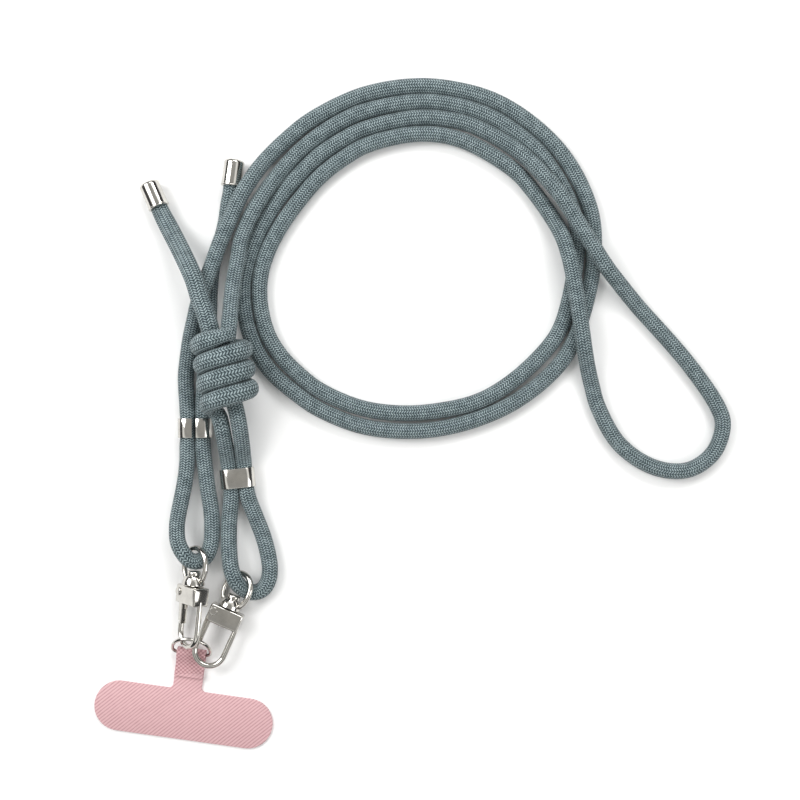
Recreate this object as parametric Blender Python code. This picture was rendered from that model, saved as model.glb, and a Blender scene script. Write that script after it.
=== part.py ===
# Phone crossbody strap, as it lies on a table: one braided rope laid in a coil, a sliding knot,
# two rope clips, two swivel snap hooks, a ring and a flat tab that holds the phone case.
# Metres, +Z up. The origin is the middle of the underside of the tab's plate.
# +Y runs from the tab towards the knot and +X to the coil's side.

import math

import bmesh
import bpy
from mathutils import Matrix, Vector

MM = 0.001
GAP = 0.3 * MM

# Rope
ROPE_D = 4.8 * MM
WRAP_D = 5.4 * MM
ROPE_SIDES_STEP = 2
JOIN_TRIM = 0.15 * MM
CURVE_PARTS = 8
LOOP_STEP = 8.5 * MM
COIL_STEP = 26.0 * MM
LEAD_STEP = 2.4 * MM
END_RUN = 2.0 * MM
LOWEST_MIDDLE = 2.43 * MM

# Sliding knot
KNOT_AT = Vector((17.2, 104.7, 12.8)) * MM
KNOT_LEAN = math.radians(8.8)
KNOT_W = 20.0 * MM
KNOT_PITCH = 6.4 * MM
KNOT_ROOM = 0.6 * MM
KNOT_FIRST_TURN = -20.0
KNOT_LAST_TURN = 1215.0
KNOT_POINT_EVERY = 30.0

# End caps
CAP_LEN = 9.0 * MM
CAP_D = 6.8 * MM
CAP_LIP_D = 7.2 * MM
CAP_LIP_LEN = 1.0 * MM
CAP_DOME = 1.2 * MM
ROPE_IN_CAP = 6.5 * MM
CAP_FIT = 0.3 * MM
CAP_FLOOR = 0.8 * MM

# Rope clips
CLIP_LEN = 6.4 * MM
CLIP_WALL = 0.5 * MM
CLIP_FIT = 0.3 * MM
CLIP_STRANDS = 5.2 * MM
CLIP_SEAM = 1.3 * MM

# Snap hooks
BLOCK_W = 11.4 * MM
BLOCK_H = 6.0 * MM
BLOCK_D = 5.6 * MM
BLOCK_EDGE = 0.5 * MM
FRAME_WIRE = 1.9 * MM
FRAME_W = 9.9 * MM
FRAME_LEN = 15.0 * MM
FRAME_TIP = 8.4 * MM
TIP_STEP = 0.9 * MM
GATE_W = 2.2 * MM
GATE_T = 1.0 * MM
GATE_SWING = math.radians(28)
HUB_R = 1.45 * MM
PIN_R = 0.6 * MM
PIN_FIT = 0.25 * MM
PIN_HEAD_R = 1.2 * MM
PIN_HEAD_H = 0.3 * MM
PIN_INSET = 1.6 * MM
PIN_RISE = 0.7 * MM
POST_R = 1.4 * MM
POST_HEAD_R = 2.2 * MM
POST_HEAD_H = 1.5 * MM
BASE_H = 3.0 * MM
BASE_WALL = 1.4 * MM
BASE_FLARE = 0.5 * MM
BAIL_WIRE = 1.8 * MM
BAIL_W = 12.0 * MM
BAIL_LEN = 13.4 * MM

# Where the hooks lie: block centre, lean of the long axis, drop towards the bail, turn of the
# block and turn of the bail about the long axis, in degrees
HOOK_1 = dict(at=(4.0, 41.0, 6.9), lean=5.4, drop=0.0, turn=48.0, bail_turn=40.0)
HOOK_2 = dict(at=(14.4, 33.3, 4.4), lean=24.0, drop=3.0, turn=0.0, bail_turn=32.0)

# Tab and ring
TAB_W = 60.0 * MM
TAB_H = 16.6 * MM
TAB_T = 0.9 * MM
TAB_LEAN = math.radians(8.0)
NECK_W = 9.6 * MM
NECK_LEN = 12.6 * MM
NECK_FILLET = 1.5 * MM
FOLD_BACK = 8.0 * MM
RING_WIRE = 1.15 * MM
RING_W = 13.9 * MM
RING_H = 9.6 * MM
RING_TILT = math.radians(46.0)
EYE_FIT = 0.3 * MM

# The rope's route, chosen by hand from the picture: x, y and height of its middle, in mm.
# From end cap B down under the coil and past the knot, through the first clip and the first
# hook's bail, and back up through the clip.
LOOP_1_ROUTE = [
    (16.4, 175.9, 3.8), (16.1, 173.5, 3.7), (15.3, 170.1, 3.1), (14.4, 164.4, 2.5),
    (13.1, 159.1, 2.5), (11.4, 154.5, 2.5), (9.9, 149.1, 2.5), (9.1, 141.0, 2.5),
    (8.8, 131.8, 2.5), (7.9, 121.8, 2.5), (7.2, 108.0, 3.1), (7.0, 102.0, 3.35),
    (7.0, 95.9, 3.35), (7.0, 89.8, 3.4), (7.8, 82.0, 3.5), (8.7, 75.3, 3.8),
    (9.8, 68.8, 4.2), (10.2, 62.2, 4.7), (9.8, 57.0, 5.2), (8.2, 53.4, 5.7),
    (5.6, 52.0, 6.5), (3.3, 52.6, 7.6), (1.4, 54.8, 8.4), (-0.5, 58.2, 7.6),
    (-1.2, 62.3, 6.2), (-1.1, 66.1, 5.1), (-0.1, 72.0, 4.2), (1.1, 78.6, 3.8),
    (1.7, 84.3, 3.5), (1.8, 89.8, 3.4), (1.8, 95.9, 3.35), (1.8, 102.0, 3.35),
    (1.4, 107.5, 3.1), (1.1, 112.8, 2.6), (1.6, 118.5, 2.5),
]
# Over the first strand, three times round the coil with the long loop on the right, and up
# to the knot.
COIL_ROUTE = [
    (1.6, 118.5, 2.5), (2.6, 125.1, 3.1), (4.4, 131.7, 5.2), (6.0, 137.1, 7.1),
    (8.0, 142.3, 7.9), (10.3, 148.5, 7.9), (13.6, 157.7, 7.8), (16.5, 164.3, 7.8),
    (19.3, 170.9, 7.7), (23.1, 177.6, 6.8), (27.8, 184.6, 4.2), (35.9, 193.0, 2.5),
    (43.6, 198.9, 2.5), (60.3, 206.8, 2.5), (78.7, 209.7, 2.5), (92.7, 208.2, 2.5),
    (103.1, 205.1, 2.5), (111.8, 200.3, 2.5), (119.5, 194.3, 2.5), (125.6, 188.0, 2.5),
    (130.5, 180.8, 2.5), (133.9, 173.8, 2.5), (135.9, 167.9, 2.5), (136.9, 161.8, 2.5),
    (137.0, 155.1, 2.5), (136.6, 148.5, 2.5), (133.8, 135.7, 2.5), (129.5, 123.2, 2.5),
    (123.1, 114.5, 2.5), (110.9, 104.8, 2.5), (99.0, 99.2, 2.5), (85.7, 95.7, 2.5),
    (72.4, 94.9, 2.5), (59.0, 96.7, 2.5), (45.6, 102.1, 2.5), (38.8, 106.6, 2.5),
    (28.5, 115.8, 2.5), (22.3, 127.5, 2.5), (20.2, 140.5, 2.5), (20.9, 147.5, 2.5),
    (24.4, 158.8, 2.5), (31.5, 171.5, 2.5), (38.9, 180.2, 2.5), (45.0, 186.2, 2.5),
    (52.6, 191.4, 2.5), (60.3, 195.3, 2.5), (78.6, 199.2, 2.5), (92.7, 197.8, 2.5),
    (100.3, 194.9, 2.5), (108.0, 190.4, 2.9), (114.2, 185.5, 4.6), (119.7, 179.3, 6.4),
    (124.8, 173.1, 7.6), (132.3, 161.5, 7.8), (139.9, 149.6, 7.3), (145.3, 143.3, 4.8),
    (152.1, 135.7, 2.5), (168.7, 116.8, 2.5), (178.4, 102.4, 2.5), (179.9, 96.9, 2.5),
    (176.8, 87.8, 2.5), (168.6, 82.0, 2.5), (157.5, 82.6, 2.5), (145.6, 90.3, 2.5),
    (138.3, 102.9, 2.5), (136.3, 109.6, 2.7), (134.5, 116.4, 4.4), (133.2, 121.9, 6.8),
    (131.9, 130.0, 7.8), (129.4, 145.8, 7.8), (128.1, 152.1, 7.5), (126.3, 158.6, 5.8),
    (123.7, 164.5, 3.4), (116.3, 175.3, 2.5), (110.1, 181.9, 2.5), (92.7, 191.8, 2.5),
    (78.6, 193.8, 2.5), (61.5, 190.1, 2.5), (54.1, 186.0, 2.5), (46.7, 180.4, 2.5),
    (40.6, 173.9, 2.5), (31.4, 160.9, 2.5), (26.5, 149.1, 2.5), (25.7, 138.5, 2.5),
    (28.3, 127.2, 2.5), (32.7, 119.9, 2.5), (39.2, 113.3, 2.5), (45.9, 108.3, 2.5),
    (59.0, 102.7, 2.5), (72.4, 100.8, 2.5), (85.7, 101.7, 2.5), (99.0, 105.0, 2.5),
    (110.6, 112.0, 2.5), (121.9, 123.0, 2.5), (125.7, 128.9, 2.5), (128.4, 137.1, 2.5),
    (131.1, 151.8, 2.5), (131.6, 161.1, 2.5), (128.8, 171.3, 2.5), (122.8, 182.2, 2.5),
    (117.9, 188.5, 2.5), (110.4, 194.7, 2.5), (102.9, 199.3, 2.5), (92.7, 202.9, 2.5),
    (78.6, 204.5, 2.5), (60.3, 201.2, 2.5), (52.5, 197.7, 2.5), (44.8, 192.8, 2.5),
    (37.7, 186.8, 2.5), (33.2, 181.6, 3.2), (28.8, 175.5, 4.7), (25.3, 169.8, 5.8),
    (22.5, 164.6, 6.1), (20.0, 157.9, 6.4), (19.0, 151.2, 7.2), (17.9, 144.6, 8.2),
    (17.3, 137.9, 9.8), (17.1, 132.5, 11.6),
]
# Down through the knot, the second clip and the second hook's bail, and up to the knot again.
LOOP_2_ROUTE = [
    (17.1, 132.5, 11.6), (16.7, 127.0, 12.7), (15.9, 120.0, 12.8), (16.9, 112.3, 12.8),
    (18.2, 105.8, 12.8), (19.4, 101.0, 12.4), (20.1, 96.1, 10.8), (20.4, 90.1, 7.0),
    (20.4, 85.8, 3.9), (20.7, 83.0, 3.5), (21.1, 79.6, 3.5), (21.8, 73.5, 3.4), (24.2, 66.8, 2.8),
    (26.8, 60.0, 2.5), (28.5, 53.7, 2.5), (29.1, 48.9, 2.5), (28.4, 44.7, 2.5),
    (26.4, 42.0, 2.5), (23.4, 41.2, 2.6), (20.8, 42.2, 3.4), (18.5, 44.8, 5.5),
    (16.8, 49.1, 6.1), (16.0, 54.3, 5.3), (15.7, 63.4, 4.2), (16.4, 74.0, 3.6),
    (15.9, 79.1, 3.5), (15.5, 83.0, 3.5), (15.2, 85.8, 3.9), (14.9, 90.1, 6.8),
    (14.4, 95.0, 9.4), (14.0, 97.5, 10.0),
]
# The lead from there into the lowest wrap of the knot.
KNOT_LEAD_ROUTE = [(14.0, 97.5, 10.0), (12.9, 100.4, 9.6), (11.3, 102.2, 9.8)]
# From the top of the knot to end cap A.
TAIL_A_ROUTE = [
    (11.0, 127.4, 13.0), (10.3, 130.2, 13.4), (9.2, 133.9, 13.6), (7.6, 138.2, 13.6),
    (6.0, 143.4, 13.2), (4.2, 147.4, 12.0), (0.2, 154.9, 8.4), (-3.7, 161.7, 5.0),
    (-6.6, 167.0, 3.7), (-7.5, 169.0, 3.8),
]
COIL_CENTRE = (80.7, 151.1)
COIL_RAYS = 16
CAP_A = dict(mouth=(-7.5, 169.0, 3.8), top=(-10.5, 175.9, 3.8))
CAP_B = dict(mouth=(16.4, 175.9, 3.8), top=(17.6, 184.9, 3.8))
CLIP_1 = dict(at=(4.4, 95.9, 3.35), lean=0.0, seam_up=True)
CLIP_2 = dict(at=(18.5, 79.3, 3.5), lean=-6.0, seam_up=False)


def clear_scene():
    for obj in list(bpy.data.objects):
        bpy.data.objects.remove(obj, do_unlink=True)


def principled(name, color, roughness, metallic):
    material = bpy.data.materials.new(name)
    material.use_nodes = True
    shader = material.node_tree.nodes["Principled BSDF"]
    shader.inputs["Base Color"].default_value = (*color, 1.0)
    shader.inputs["Roughness"].default_value = roughness
    shader.inputs["Metallic"].default_value = metallic
    material.diffuse_color = (*color, 1.0)
    return material


def add_object(name, data, matrix=None, parent=None):
    obj = bpy.data.objects.new(name, data)
    bpy.context.scene.collection.objects.link(obj)
    obj.parent = parent
    if matrix is not None:
        obj.matrix_local = matrix
    bpy.context.view_layer.update()
    return obj


def mesh_object(name, shape, material=None, matrix=None, parent=None):
    """An object from a bmesh, shaded smooth but for its sharp edges."""
    bmesh.ops.recalc_face_normals(shape, faces=shape.faces)
    mesh = bpy.data.meshes.new(name)
    shape.to_mesh(mesh)
    shape.free()
    mesh.shade_smooth()
    mesh.set_sharp_from_angle(angle=math.radians(35))
    if material:
        mesh.materials.append(material)
    return add_object(name, mesh, matrix, parent)


def combine(obj, helper, operation):
    """Joins a helper to an object, or cuts it away, and keeps the helper out of the model."""
    helper.hide_render = True
    helper.display_type = "WIRE"
    helper.parent = obj
    helper.matrix_parent_inverse.identity()
    step = obj.modifiers.new(helper.name, "BOOLEAN")
    step.operation = operation
    step.object = helper
    step.solver = "EXACT"


def smooth_curve(points, parts=CURVE_PARTS, closed=False):
    """A smooth curve through the points, with the same bend on both sides of each."""
    points = [Vector(p) for p in points]
    if closed:
        ring = [points[-1]] + points + points[:2]
    else:
        ring = [2 * points[0] - points[1]] + points + [2 * points[-1] - points[-2]]
    curve = []
    for a, b, c, d in zip(ring, ring[1:], ring[2:], ring[3:]):
        t1 = math.sqrt((b - a).length)
        t2 = t1 + math.sqrt((c - b).length)
        t3 = t2 + math.sqrt((d - c).length)
        for part in range(parts):
            t = t1 + (t2 - t1) * part / parts
            ab = a.lerp(b, t / t1)
            bc = b.lerp(c, (t - t1) / (t2 - t1))
            cd = c.lerp(d, (t - t2) / (t3 - t2))
            abc = ab.lerp(bc, t / t2)
            bcd = bc.lerp(cd, (t - t1) / (t3 - t1))
            curve.append(abc.lerp(bcd, (t - t1) / (t2 - t1)))
    return curve if closed else curve + [points[-1]]


def route_curve(route):
    """The smooth curve of a route, kept on the table where it would dip below it."""
    curve = smooth_curve([Vector(p) * MM for p in route])
    return [Vector((p.x, p.y, max(p.z, LOWEST_MIDDLE))) for p in curve]


def ray_number(point):
    x, y = (point.x - COIL_CENTRE[0] * MM, point.y - COIL_CENTRE[1] * MM)
    return math.floor(math.atan2(y, x) / (2 * math.pi) * COIL_RAYS)


def spaced(curve, longest, most_turn=30.0, most_climb=1.8 * MM, rays=False):
    """The points of a curve that a tube needs: one each time it has run, turned or climbed
    far enough or, in the coil, on each ray from its centre, which keeps the laps parallel.
    The first and last stretches are straight, so that the ends of two tubes face each other."""
    first = next(n for n, p in enumerate(curve) if (p - curve[0]).length > END_RUN)
    last = max(n for n, p in enumerate(curve) if (p - curve[-1]).length > END_RUN)
    kept = [curve[0], curve[0] + (curve[1] - curve[0]).normalized() * END_RUN]
    way = (curve[first + 1] - curve[first]).normalized()
    run = 0.0
    middle = curve[first : last + 2]
    for a, b, c in zip(middle, middle[1:], middle[2:]):
        run += (b - a).length
        turned = math.degrees(way.angle((c - b).normalized()))
        crossed = rays and ray_number(a) != ray_number(b)
        climbed = abs(b.z - kept[-1].z)
        if run > longest or turned > most_turn or climbed > most_climb or crossed:
            kept.append(b)
            way = (c - b).normalized()
            run = 0.0
    if len(kept) > 2 and (kept[-1] - curve[last]).length < longest / 4:
        kept.pop()
    return kept + [curve[-1] + (curve[-2] - curve[-1]).normalized() * END_RUN, curve[-1]]


def trimmed(points, start=0.0, end=0.0):
    """The same run of points with its two ends drawn back."""
    points = list(points)
    points[0] = points[0] + (points[1] - points[0]).normalized() * start
    points[-1] = points[-1] + (points[-2] - points[-1]).normalized() * end
    return points


def tube(name, points, diameter, sides_step, material=None, radii=None, closed=False):
    """A round tube through the points, with filled ends."""
    data = bpy.data.curves.new(name, "CURVE")
    data.dimensions = "3D"
    data.twist_mode = "Z_UP"
    data.bevel_depth = diameter / 2
    data.bevel_resolution = sides_step
    data.use_fill_caps = True
    spline = data.splines.new("POLY")
    spline.points.add(len(points) - 1)
    spline.use_cyclic_u = closed
    for number, (spot, place) in enumerate(zip(spline.points, points)):
        spot.co = (*place, 1.0)
        spot.radius = radii[number] if radii else 1.0
    if material:
        data.materials.append(material)
    return add_object(name, data)


def wire_mesh(name, points, diameter, sides_step, matrix=None, parent=None):
    """A tube turned into a mesh, for joining to other shapes."""
    guide = tube(name + "_guide", points, diameter, sides_step)
    mesh = bpy.data.meshes.new_from_object(guide.evaluated_get(bpy.context.evaluated_depsgraph_get()))
    bpy.data.objects.remove(guide, do_unlink=True)
    shape = bmesh.new()
    shape.from_mesh(mesh)
    bmesh.ops.remove_doubles(shape, verts=shape.verts, dist=1e-7)
    return mesh_object(name, shape, None, matrix, parent)


def turned(profile, steps):
    """A round solid about Y from (radius, height) pairs that start and end on the axis."""
    shape = bmesh.new()
    spots = [shape.verts.new((radius, height, 0.0)) for radius, height in profile]
    edges = [shape.edges.new(pair) for pair in zip(spots, spots[1:])]
    if (spots[0].co - spots[-1].co).length < 1e-9 or profile[0][0] > 0:
        edges.append(shape.edges.new((spots[-1], spots[0])))
    bmesh.ops.spin(
        shape, geom=spots + edges, cent=(0, 0, 0), axis=(0, 1, 0),
        angle=2 * math.pi, steps=steps, use_merge=True,
    )
    bmesh.ops.remove_doubles(shape, verts=shape.verts, dist=1e-7)
    return shape


def block(size, centre=(0, 0, 0), edge=0.0):
    shape = bmesh.new()
    bmesh.ops.create_cube(shape, size=1.0)
    bmesh.ops.scale(shape, vec=size, verts=shape.verts)
    if edge:
        bmesh.ops.bevel(
            shape, geom=shape.edges, offset=edge, segments=2, profile=0.5,
            affect="EDGES", material=-1,
        )
    bmesh.ops.translate(shape, vec=centre, verts=shape.verts)
    return shape


def plate(outline, thickness, bottom=0.0):
    """A flat plate from an outline in x and y."""
    shape = bmesh.new()
    face = shape.faces.new([shape.verts.new((x, y, bottom)) for x, y in outline])
    grown = bmesh.ops.extrude_face_region(shape, geom=[face])["geom"]
    up = [part for part in grown if isinstance(part, bmesh.types.BMVert)]
    bmesh.ops.translate(shape, vec=(0, 0, thickness), verts=up)
    return shape


def arc(centre, radius, start, end, steps):
    """Points on an arc between two angles in degrees."""
    angles = [math.radians(start + (end - start) * step / steps) for step in range(steps + 1)]
    return [(centre[0] + radius * math.cos(a), centre[1] + radius * math.sin(a)) for a in angles]


def place(at, lean=0.0, drop=0.0, turn=0.0):
    """A frame whose Y is the long axis: leaning to the right, dropping, and turned about itself."""
    return (
        Matrix.Translation(Vector(at) * MM)
        @ Matrix.Rotation(-math.radians(lean), 4, "Z")
        @ Matrix.Rotation(-math.radians(drop), 4, "X")
        @ Matrix.Rotation(-math.radians(turn), 4, "Y")
    )


def knot_frame():
    """The knot's frame: Y along its axis upwards, X across it and Z out of the table."""
    return Matrix.Translation(KNOT_AT) @ Matrix.Rotation(KNOT_LEAN, 4, "Z")


def knot_wraps():
    """The middle line of the knot's wraps."""
    across = (KNOT_W - WRAP_D) / 2
    deep = ROPE_D / 2 + KNOT_ROOM + WRAP_D / 2
    frame = knot_frame()
    steps = int((KNOT_LAST_TURN - KNOT_FIRST_TURN) / KNOT_POINT_EVERY)
    wraps = []
    for step in range(steps + 1):
        degrees = KNOT_FIRST_TURN + step * KNOT_POINT_EVERY
        angle = math.radians(degrees)
        spot = Vector((-across * math.cos(angle), KNOT_PITCH * degrees / 360, deep * math.sin(angle)))
        wraps.append(frame @ spot)
    return wraps


def build_rope(material):
    whole = route_curve(LOOP_1_ROUTE + COIL_ROUTE[1:] + LOOP_2_ROUTE[1:] + KNOT_LEAD_ROUTE[1:])
    cut_1 = (len(LOOP_1_ROUTE) - 1) * CURVE_PARTS
    cut_2 = cut_1 + (len(COIL_ROUTE) - 1) * CURVE_PARTS
    cut_3 = cut_2 + (len(LOOP_2_ROUTE) - 1) * CURVE_PARTS
    loop_1 = spaced(whole[: cut_1 + 1], LOOP_STEP)
    coil = spaced(whole[cut_1 : cut_2 + 1], COIL_STEP, rays=True)
    loop_2 = spaced(whole[cut_2 : cut_3 + 1], LOOP_STEP)
    lead = spaced(whole[cut_3:], LEAD_STEP)
    tail_a = spaced(route_curve(TAIL_A_ROUTE), LOOP_STEP)
    cap_b_way = (Vector(CAP_B["top"]) - Vector(CAP_B["mouth"])).normalized()
    cap_a_way = (Vector(CAP_A["top"]) - Vector(CAP_A["mouth"])).normalized()
    loop_1.insert(0, Vector(CAP_B["mouth"]) * MM + cap_b_way * ROPE_IN_CAP)
    tail_a.append(Vector(CAP_A["mouth"]) * MM + cap_a_way * ROPE_IN_CAP)
    tube("rope_loop_1", trimmed(loop_1, 0, JOIN_TRIM), ROPE_D, ROPE_SIDES_STEP, material)
    tube("rope_coil", trimmed(coil, JOIN_TRIM, JOIN_TRIM), ROPE_D, ROPE_SIDES_STEP, material)
    tube("rope_loop_2", trimmed(loop_2, JOIN_TRIM, JOIN_TRIM), ROPE_D, ROPE_SIDES_STEP, material)
    tube("rope_tail_a", tail_a, ROPE_D, ROPE_SIDES_STEP, material)
    wraps = knot_wraps()
    radii = [ROPE_D / WRAP_D] * len(lead) + [1.0] * (len(wraps) - 2) + [0.85, 0.6]
    path = trimmed(lead + wraps, JOIN_TRIM, 0)
    tube("sliding_knot", path, WRAP_D, ROPE_SIDES_STEP, material, radii)


def build_cap(name, cap, material):
    """A drawn metal cup with a rolled lip, with the rope's end pushed in."""
    outer, bore = CAP_D / 2, ROPE_D / 2 + CAP_FIT
    lip = CAP_LIP_D / 2
    profile = [
        (0, CAP_LEN), (outer - CAP_DOME, CAP_LEN), (outer - CAP_DOME * 0.3, CAP_LEN - CAP_DOME * 0.3),
        (outer, CAP_LEN - CAP_DOME), (outer, CAP_LIP_LEN + (lip - outer)), (lip, CAP_LIP_LEN),
        (lip, 0), (bore, 0), (bore, CAP_LEN - CAP_FLOOR), (0, CAP_LEN - CAP_FLOOR),
    ]
    mouth, top = Vector(cap["mouth"]) * MM, Vector(cap["top"]) * MM
    turn = Vector((0, 1, 0)).rotation_difference(top - mouth).to_matrix().to_4x4()
    mesh_object(name, turned(profile, 16), material, Matrix.Translation(mouth) @ turn)


def band_outline(width, height, steps):
    """A flat oval in x and z with half-round sides."""
    side = (width - height) / 2
    right = arc((side, 0), height / 2, -90, 90, steps)
    return right + [(-x, -z) for x, z in right]


def build_clip(name, clip, material):
    """A bent metal band round two strands, open along one narrow seam."""
    inner_w = CLIP_STRANDS + ROPE_D + 2 * CLIP_FIT
    inner_h = ROPE_D + 2 * CLIP_FIT
    shape = bmesh.new()
    loops = []
    for grow in (0.0, CLIP_WALL):
        outline = band_outline(inner_w + 2 * grow, inner_h + 2 * grow, 6)
        spots = [shape.verts.new((x, -CLIP_LEN / 2, z)) for x, z in outline]
        loops += [shape.edges.new(pair) for pair in zip(spots, spots[1:] + spots[:1])]
    rim = bmesh.ops.bridge_loops(shape, edges=loops)["faces"]
    grown = bmesh.ops.extrude_face_region(shape, geom=rim)["geom"]
    far = [part for part in grown if isinstance(part, bmesh.types.BMVert)]
    bmesh.ops.translate(shape, vec=(0, CLIP_LEN, 0), verts=far)
    frame = place(clip["at"], lean=clip["lean"], turn=0 if clip["seam_up"] else 180)
    band = mesh_object(name, shape, material, frame)
    seam_cut = block((CLIP_SEAM, CLIP_LEN * 2, inner_h), (0, 0, inner_h / 2 + CLIP_WALL))
    combine(band, mesh_object(name + "_seam", seam_cut), "DIFFERENCE")


def hook_outline():
    """The middle line of the hook's bent wire, from inside the block round to its tip."""
    half = FRAME_W / 2
    bottom = -BLOCK_H / 2 - FRAME_LEN + FRAME_WIRE / 2 + half
    tip = -BLOCK_H / 2 - FRAME_LEN + FRAME_TIP
    line = [(half, -BLOCK_H / 4), (half, (bottom - BLOCK_H / 2) / 2)]
    line += arc((0, bottom), half, 0, -180, 12)
    return line + [(-half, tip)]


def pin_place():
    return Vector((-BLOCK_W / 2 + PIN_INSET, PIN_RISE, 0))


def build_gate(name, hook, material):
    """A sprung lever on a rivet, whose end rests behind the lip of the hook's tip."""
    pin = pin_place()
    half = FRAME_W / 2
    lip = -BLOCK_H / 2 - FRAME_LEN + FRAME_TIP
    end = lip - TIP_STEP + GAP
    outside = -half + GAP
    hub = arc((0, 0), HUB_R, 150, 0, 8)
    outline = hub + [
        (outside + GATE_T - pin.x, -BLOCK_H / 2 - pin.y),
        (outside + GATE_T - pin.x, end - pin.y),
        (outside - pin.x, end - pin.y),
        (outside - pin.x, lip + GAP - pin.y),
        (-half - FRAME_WIRE / 4 - pin.x, lip + GAP - pin.y),
        (-half - FRAME_WIRE / 2 - pin.x, -BLOCK_H / 2 - pin.y),
    ]
    gate = mesh_object(
        name, plate(outline, GATE_W, -GATE_W / 2), material, Matrix.Translation(pin), hook
    )
    hole_profile = [(0, -GATE_W), (PIN_R + PIN_FIT, -GATE_W), (PIN_R + PIN_FIT, GATE_W), (0, GATE_W)]
    hole = mesh_object(name + "_hole", turned(hole_profile, 12), matrix=Matrix.Rotation(math.pi / 2, 4, "X"))
    combine(gate, hole, "DIFFERENCE")


def build_hook(number, where, material):
    """The block with its swivel post, the bent wire and the rivet, as one casting."""
    name = f"snap_hook_{number}"
    hook = mesh_object(
        name, block((BLOCK_W, BLOCK_H, BLOCK_D), edge=BLOCK_EDGE), material,
        place(where["at"], where["lean"], where["drop"], where["turn"]),
    )
    pin = pin_place()
    swing = (BLOCK_H / 2 + pin.y) * math.sin(GATE_SWING) + GATE_T * math.cos(GATE_SWING)
    slot_right = max(pin.x + HUB_R, GATE_T - FRAME_W / 2 + swing) + GAP
    slot_top = pin.y + HUB_R + GAP
    slot_left = -BLOCK_W
    slot = block(
        (slot_right - slot_left, slot_top + BLOCK_H, GATE_W + 2 * GAP),
        ((slot_right + slot_left) / 2, (slot_top - BLOCK_H) / 2, 0),
    )
    combine(hook, mesh_object(name + "_slot", slot), "DIFFERENCE")
    line = [Vector((x, y, 0)) for x, y in hook_outline()]
    wire = wire_mesh(name + "_wire", line, FRAME_WIRE, 3)
    tip = -BLOCK_H / 2 - FRAME_LEN + FRAME_TIP
    step = block(
        (FRAME_WIRE, 2 * TIP_STEP, 2 * FRAME_WIRE),
        (-FRAME_W / 2 + FRAME_WIRE / 2, tip, 0),
    )
    combine(wire, mesh_object(name + "_tip_step", step), "DIFFERENCE")
    combine(hook, wire, "UNION")
    head = BLOCK_D / 2 + PIN_HEAD_H
    rivet_profile = [
        (0, -head), (PIN_HEAD_R * 0.7, -head), (PIN_HEAD_R, -BLOCK_D / 2), (PIN_HEAD_R, 0.1 * MM - BLOCK_D / 2),
        (PIN_R, 0.1 * MM - BLOCK_D / 2), (PIN_R, BLOCK_D / 2 - 0.1 * MM),
        (PIN_HEAD_R, BLOCK_D / 2 - 0.1 * MM), (PIN_HEAD_R, BLOCK_D / 2), (PIN_HEAD_R * 0.7, head), (0, head),
    ]
    rivet_frame = Matrix.Translation(pin) @ Matrix.Rotation(math.pi / 2, 4, "X")
    combine(hook, mesh_object(name + "_rivet", turned(rivet_profile, 12), matrix=rivet_frame), "UNION")
    neck = BLOCK_H / 2 + BASE_H + 2 * GAP
    post_profile = [
        (0, BLOCK_H / 4), (POST_R, BLOCK_H / 4), (POST_R, neck), (POST_HEAD_R, neck + 0.2 * MM),
        (POST_HEAD_R, neck + POST_HEAD_H * 0.5), (POST_HEAD_R * 0.6, neck + POST_HEAD_H),
        (0, neck + POST_HEAD_H),
    ]
    combine(hook, mesh_object(name + "_post", turned(post_profile, 16)), "UNION")
    build_gate(f"hook_gate_{number}", hook, material)


def build_bail(number, where, material):
    """The swivel's eye: a coned collar on the post, and the bent wire that the rope passes through."""
    name = f"swivel_bail_{number}"
    low = BLOCK_H / 2 + GAP
    high = low + BASE_H
    bore = POST_R + GAP
    collar_profile = [
        (bore, low), (bore + BASE_WALL + BASE_FLARE, low), (bore + BASE_WALL + BASE_FLARE, low + BASE_H * 0.4),
        (bore + BASE_WALL, high), (bore, high),
    ]
    frame = place(where["at"], where["lean"], where["drop"], where["bail_turn"])
    bail = mesh_object(name, turned(collar_profile, 14), material, frame)
    half = (BAIL_W - BAIL_WIRE) / 2
    top = BLOCK_H / 2 + BAIL_LEN - BAIL_WIRE / 2 - half
    root = bore + BAIL_WIRE / 2
    side = [
        (root, low + BASE_H * 0.55), (root + 0.9 * MM, low + BASE_H * 0.62),
        (half * 0.86, low + BASE_H * 0.95), (half, top - half * 0.4),
    ]
    bow = arc((0, top), half, 0, 180, 10)
    line = side + bow + [(-x, y) for x, y in reversed(side)]
    wire = wire_mesh(name + "_wire", [Vector((x, y, 0)) for x, y in line], BAIL_WIRE, 3)
    combine(bail, wire, "UNION")


def eye_radius():
    return RING_WIRE / 2 + EYE_FIT + TAB_T


def bar_y():
    """How far the ring's straight side is from the middle of the plate, along the neck."""
    return TAB_H / 2 + NECK_LEN


def build_ring(material):
    """The half-oval ring whose straight side lies in the fold of the neck."""
    half = (RING_W - RING_WIRE) / 2
    height = RING_H - RING_WIRE
    bar = NECK_W / 2 + GAP
    right = [
        (bar * 0.5, 0), (bar, 0), (half * 0.96, height * 0.1), (half, height * 0.32),
        (half * 0.86, height * 0.66), (half * 0.5, height * 0.92),
    ]
    line = right + [(0, height)] + [(-x, y) for x, y in reversed(right)]
    curve = smooth_curve([Vector((x, y, 0)) for x, y in line], 3, closed=True)
    frame = (
        Matrix.Rotation(-TAB_LEAN, 4, "Z")
        @ Matrix.Translation((0, bar_y(), eye_radius()))
        @ Matrix.Rotation(RING_TILT, 4, "X")
    )
    ring = tube("d_ring", curve, RING_WIRE, 1, material, closed=True)
    ring.matrix_local = frame


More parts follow.
